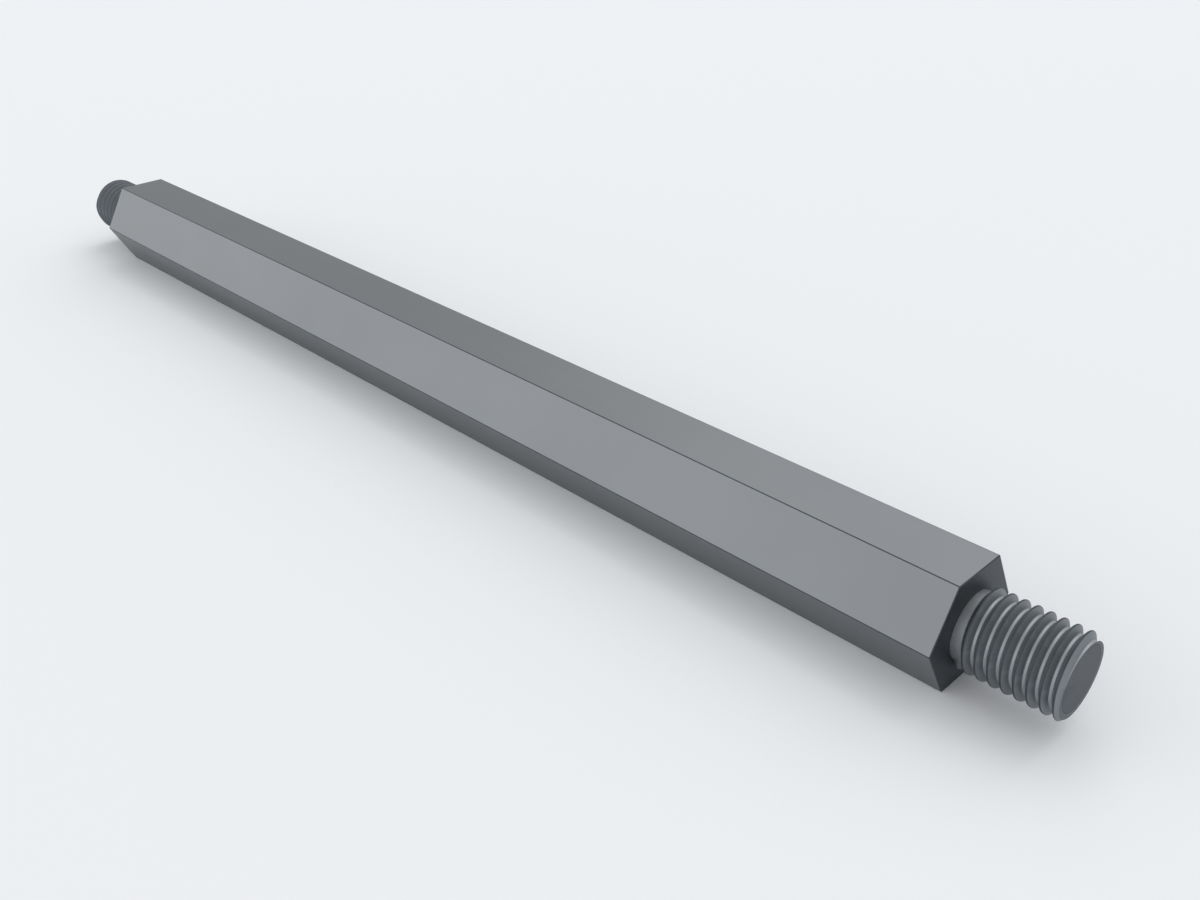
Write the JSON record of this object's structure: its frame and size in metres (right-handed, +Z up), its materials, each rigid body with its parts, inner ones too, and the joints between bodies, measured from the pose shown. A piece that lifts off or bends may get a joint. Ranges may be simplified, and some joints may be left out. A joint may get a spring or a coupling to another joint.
{
  "type": "threaded hex shaft",
  "caption": "Hexagonal steel shaft with a shouldered, right-hand threaded stud at each end, both on the bar's axis.",
  "frame": {"origin": "on the shaft's axis, midway between the two shoulders", "axes": "+X along the axis towards the stud that is nearer in the picture, +Z up out of one flat, Y across two opposite corners"},
  "size_m": [0.3286, 0.0256, 0.0222],
  "materials": {
    "steel": "cold-drawn flats and turned ends, fine satin"
  },
  "bodies": {
    "root": {"shaft": "steel"}
  },
  "joints": []
}
